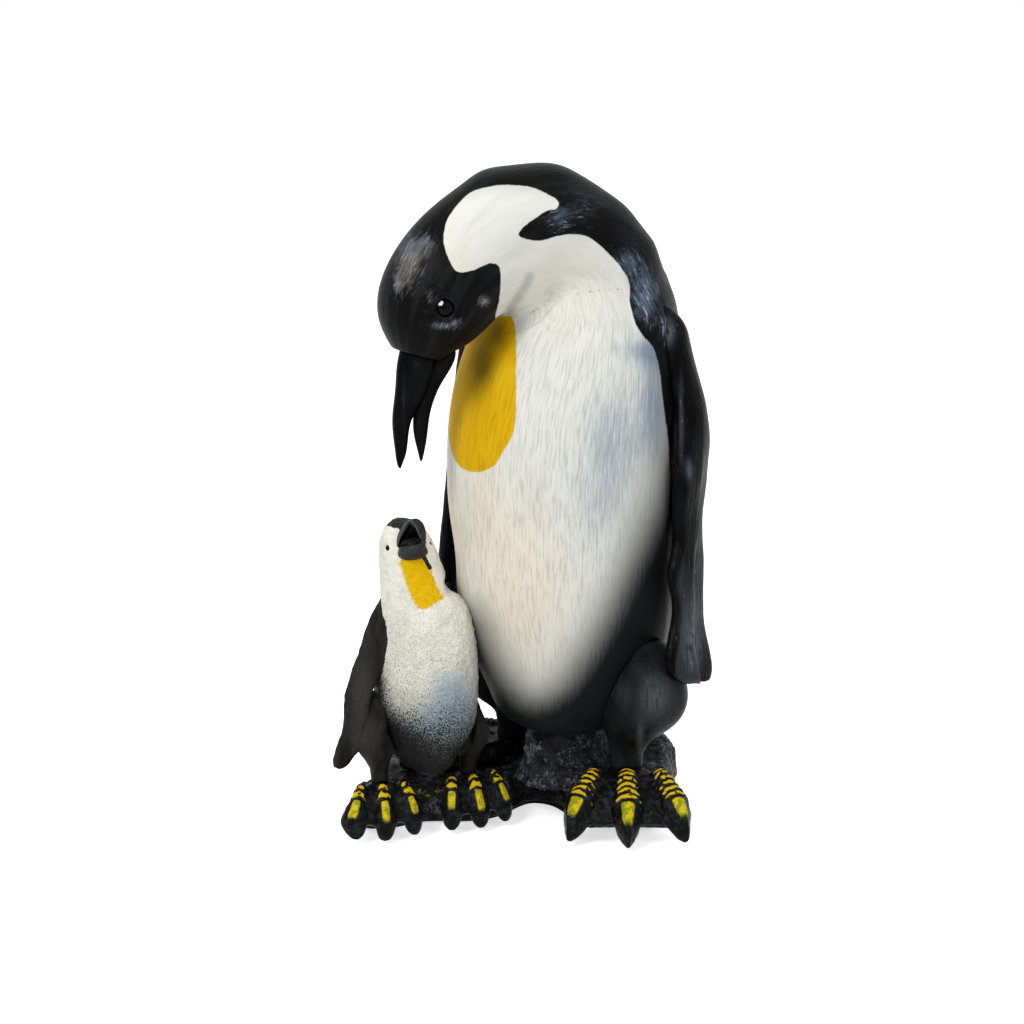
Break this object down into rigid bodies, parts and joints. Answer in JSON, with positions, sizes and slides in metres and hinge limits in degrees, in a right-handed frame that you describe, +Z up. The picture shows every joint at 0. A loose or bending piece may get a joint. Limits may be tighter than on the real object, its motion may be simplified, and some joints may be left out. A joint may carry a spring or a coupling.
{
  "type": "penguin figurine",
  "caption": "Free-standing painted resin ornament: an adult penguin bows its head to an open-beaked chick on a dark rock base.",
  "frame": {"origin": "on the underside of the felt pad, at the middle of the rock base, on the surface that the ornament stands on", "axes": "+Z up; the viewer of its front stands at -Y, so +X is the viewer's right; the chick stands at -X"},
  "size_m": [0.1695, 0.1273, 0.2999],
  "materials": {
    "rock_paint": "satin",
    "felt": "matte",
    "belly_paint": "satin",
    "bare_resin": "matte",
    "black_paint": "gloss",
    "grey_paint": "satin",
    "foot_paint": "gloss",
    "down_paint": "satin",
    "eye_bead": "polished",
    "pin_steel": "satin"
  },
  "bodies": {
    "root": {"base_rock": "rock_paint", "felt_pad": "felt", "adult_torso": "belly_paint", "torso_plug": "bare_resin", "adult_head": "black_paint", "adult_upper_beak": "black_paint", "adult_lower_beak": "black_paint", "adult_left_eye": "eye_bead", "adult_right_eye": "eye_bead", "adult_left_flipper": "black_paint", "adult_right_flipper": "black_paint", "adult_left_thigh": "grey_paint", "adult_right_thigh": "grey_paint", "adult_left_foot": "foot_paint", "adult_right_foot": "foot_paint", "adult_tail": "black_paint", "chick_body": "down_paint", "chick_upper_beak": "black_paint", "chick_lower_beak": "black_paint", "chick_left_eye": "eye_bead", "chick_right_eye": "eye_bead", "chick_left_flipper": "grey_paint", "chick_right_flipper": "grey_paint", "chick_left_thigh": "grey_paint", "chick_right_thigh": "grey_paint", "chick_left_foot": "foot_paint", "chick_right_foot": "foot_paint", "chick_tail": "grey_paint", "adult_leg_pins": "pin_steel", "chick_leg_pins": "pin_steel", "flipper_pins": "pin_steel", "neck_pin": "pin_steel"}
  },
  "joints": []
}
